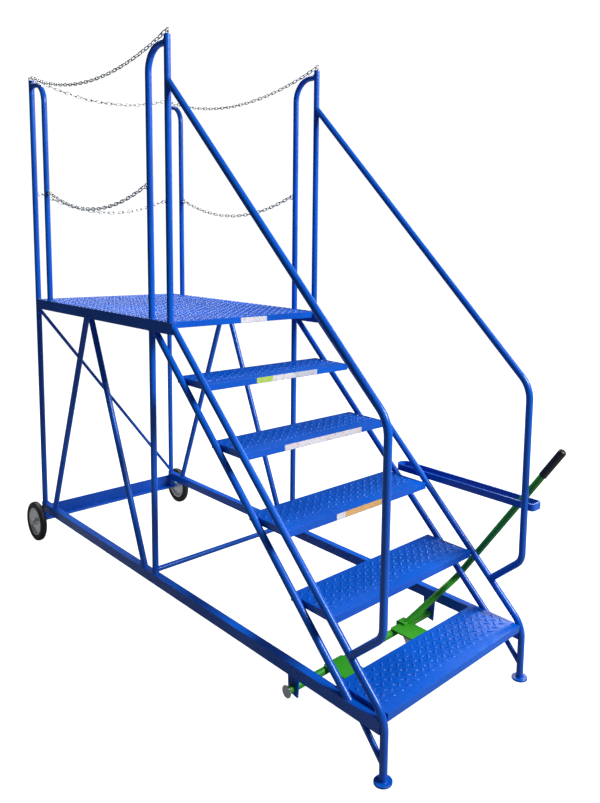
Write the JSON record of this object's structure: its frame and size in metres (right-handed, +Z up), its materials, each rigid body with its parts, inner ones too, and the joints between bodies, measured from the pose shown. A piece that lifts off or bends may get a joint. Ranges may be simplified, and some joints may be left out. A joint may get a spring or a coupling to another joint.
{
  "type": "rolling warehouse ladder",
  "caption": "Rolling steel stair with a guarded platform, handrails, chain side guards, rear wheels and lever-worked swivel castors at the front.",
  "frame": {"origin": "on the floor under the middle of the overall box", "axes": "+X to the climber's right, +Y from the treads towards the rear wheels, +Z up"},
  "size_m": [0.88, 2.6278, 2.3345],
  "materials": {
    "blue_paint": "glossy powder coat",
    "green_paint": "glossy powder coat",
    "zinc": "bright zinc plate",
    "chain": "zinc plated steel wire",
    "tyre": "black solid rubber",
    "castor_rubber": "dark rubber",
    "grip": "black moulded grip"
  },
  "bodies": {
    "frame": {"axle_washers_and_caps": "zinc", "base_cross_tube": "blue_paint", "base_rail_left": "blue_paint", "base_rail_right": "blue_paint", "chain_eyes": "zinc", "deck_bearers": "blue_paint", "foot_discs": "blue_paint", "guard_hoop_front_left": "blue_paint", "guard_hoop_front_right": "blue_paint", "guard_hoop_rear_left": "blue_paint", "guard_hoop_rear_right": "blue_paint", "guard_post_front_left": "blue_paint", "guard_post_front_right": "blue_paint", "guard_post_rear_left": "blue_paint", "guard_post_rear_right": "blue_paint", "handrail_left": "blue_paint", "handrail_right": "blue_paint", "leg_braces": "blue_paint", "lever_brackets": "blue_paint", "lever_guide": "blue_paint", "platform_deck": "blue_paint", "rear_cross_member": "blue_paint", "rear_diagonal_brace": "blue_paint", "side_braces": "blue_paint", "side_rail_left": "blue_paint", "side_rail_right": "blue_paint", "stringer_lower_left": "blue_paint", "stringer_lower_right": "blue_paint", "stringer_upper_left": "blue_paint", "stringer_upper_right": "blue_paint", "support_posts": "blue_paint", "tread_1": "blue_paint", "tread_2": "blue_paint", "tread_3": "blue_paint", "tread_4": "blue_paint", "tread_5": "blue_paint", "wheel_axles": "zinc"},
    "rear_wheel_left": {"wheel_tyre_left": "tyre", "wheel_hub_left": "zinc"},
    "rear_wheel_right": {"wheel_tyre_right": "tyre", "wheel_hub_right": "zinc"},
    "lever": {"lever_shaft": "green_paint", "lever_shaft_washer": "zinc", "lever_collar": "green_paint", "lever_bar": "green_paint", "lever_grip": "grip", "castor_arms": "green_paint", "castor_top_plates": "zinc"},
    "castor_swivel_left": {"castor_fork_left": "zinc", "castor_axle_left": "zinc"},
    "castor_swivel_right": {"castor_fork_right": "zinc", "castor_axle_right": "zinc"},
    "castor_roller_left": {"castor_wheel_left": "castor_rubber"},
    "castor_roller_right": {"castor_wheel_right": "castor_rubber"},
    "top_chain_left": {"chain_top_left": "chain"},
    "top_chain_right": {"chain_top_right": "chain"},
    "top_chain_rear": {"chain_top_rear": "chain"},
    "middle_chain_left": {"chain_middle_left": "chain"},
    "middle_chain_right": {"chain_middle_right": "chain"},
    "middle_chain_rear": {"chain_middle_rear": "chain"}
  },
  "joints": [
    {"name": "rear_wheel_left_spin", "type": "hinge", "parent": "frame", "child": "rear_wheel_left", "pos_m": [-0.41, 1.21389, 0.1], "axis": [1, 0, 0], "continuous": true},
    {"name": "rear_wheel_right_spin", "type": "hinge", "parent": "frame", "child": "rear_wheel_right", "pos_m": [0.41, 1.21389, 0.1], "axis": [1, 0, 0], "continuous": true},
    {"name": "lever_swing", "type": "hinge", "parent": "frame", "child": "lever", "pos_m": [0, -0.77811, 0.092], "axis": [1, 0, 0], "range_deg": [-52, 2.5]},
    {"name": "castor_left_swivel", "type": "hinge", "parent": "lever", "child": "castor_swivel_left", "pos_m": [-0.172, -0.83611, 0.06], "axis": [0, 0, 1], "continuous": true},
    {"name": "castor_left_spin", "type": "hinge", "parent": "castor_swivel_left", "child": "castor_roller_left", "pos_m": [-0.172, -0.86011, 0.0375], "axis": [1, 0, 0], "continuous": true},
    {"name": "castor_right_swivel", "type": "hinge", "parent": "lever", "child": "castor_swivel_right", "pos_m": [0.172, -0.83611, 0.06], "axis": [0, 0, 1], "continuous": true},
    {"name": "castor_right_spin", "type": "hinge", "parent": "castor_swivel_right", "child": "castor_roller_right", "pos_m": [0.172, -0.86011, 0.0375], "axis": [1, 0, 0], "continuous": true},
    {"name": "chain_top_left_swing", "type": "hinge", "parent": "frame", "child": "top_chain_left", "pos_m": [-0.365, 0.58439, 2.3215], "axis": [0, 1, 0], "range_deg": [-20, 20]},
    {"name": "chain_middle_left_swing", "type": "hinge", "parent": "frame", "child": "middle_chain_left", "pos_m": [-0.365, 0.58239, 1.768], "axis": [0, 1, 0], "range_deg": [-20, 20]},
    {"name": "chain_top_right_swing", "type": "hinge", "parent": "frame", "child": "top_chain_right", "pos_m": [0.365, 0.58439, 2.3215], "axis": [0, 1, 0], "range_deg": [-20, 20]},
    {"name": "chain_middle_right_swing", "type": "hinge", "parent": "frame", "child": "middle_chain_right", "pos_m": [0.365, 0.58239, 1.768], "axis": [0, 1, 0], "range_deg": [-20, 20]},
    {"name": "chain_top_rear_swing", "type": "hinge", "parent": "frame", "child": "top_chain_rear", "pos_m": [0, 1.21289, 2.3215], "axis": [1, 0, 0], "range_deg": [-20, 20]},
    {"name": "chain_middle_rear_swing", "type": "hinge", "parent": "frame", "child": "middle_chain_rear", "pos_m": [0, 1.21289, 1.768], "axis": [1, 0, 0], "range_deg": [-20, 20]}
  ]
}
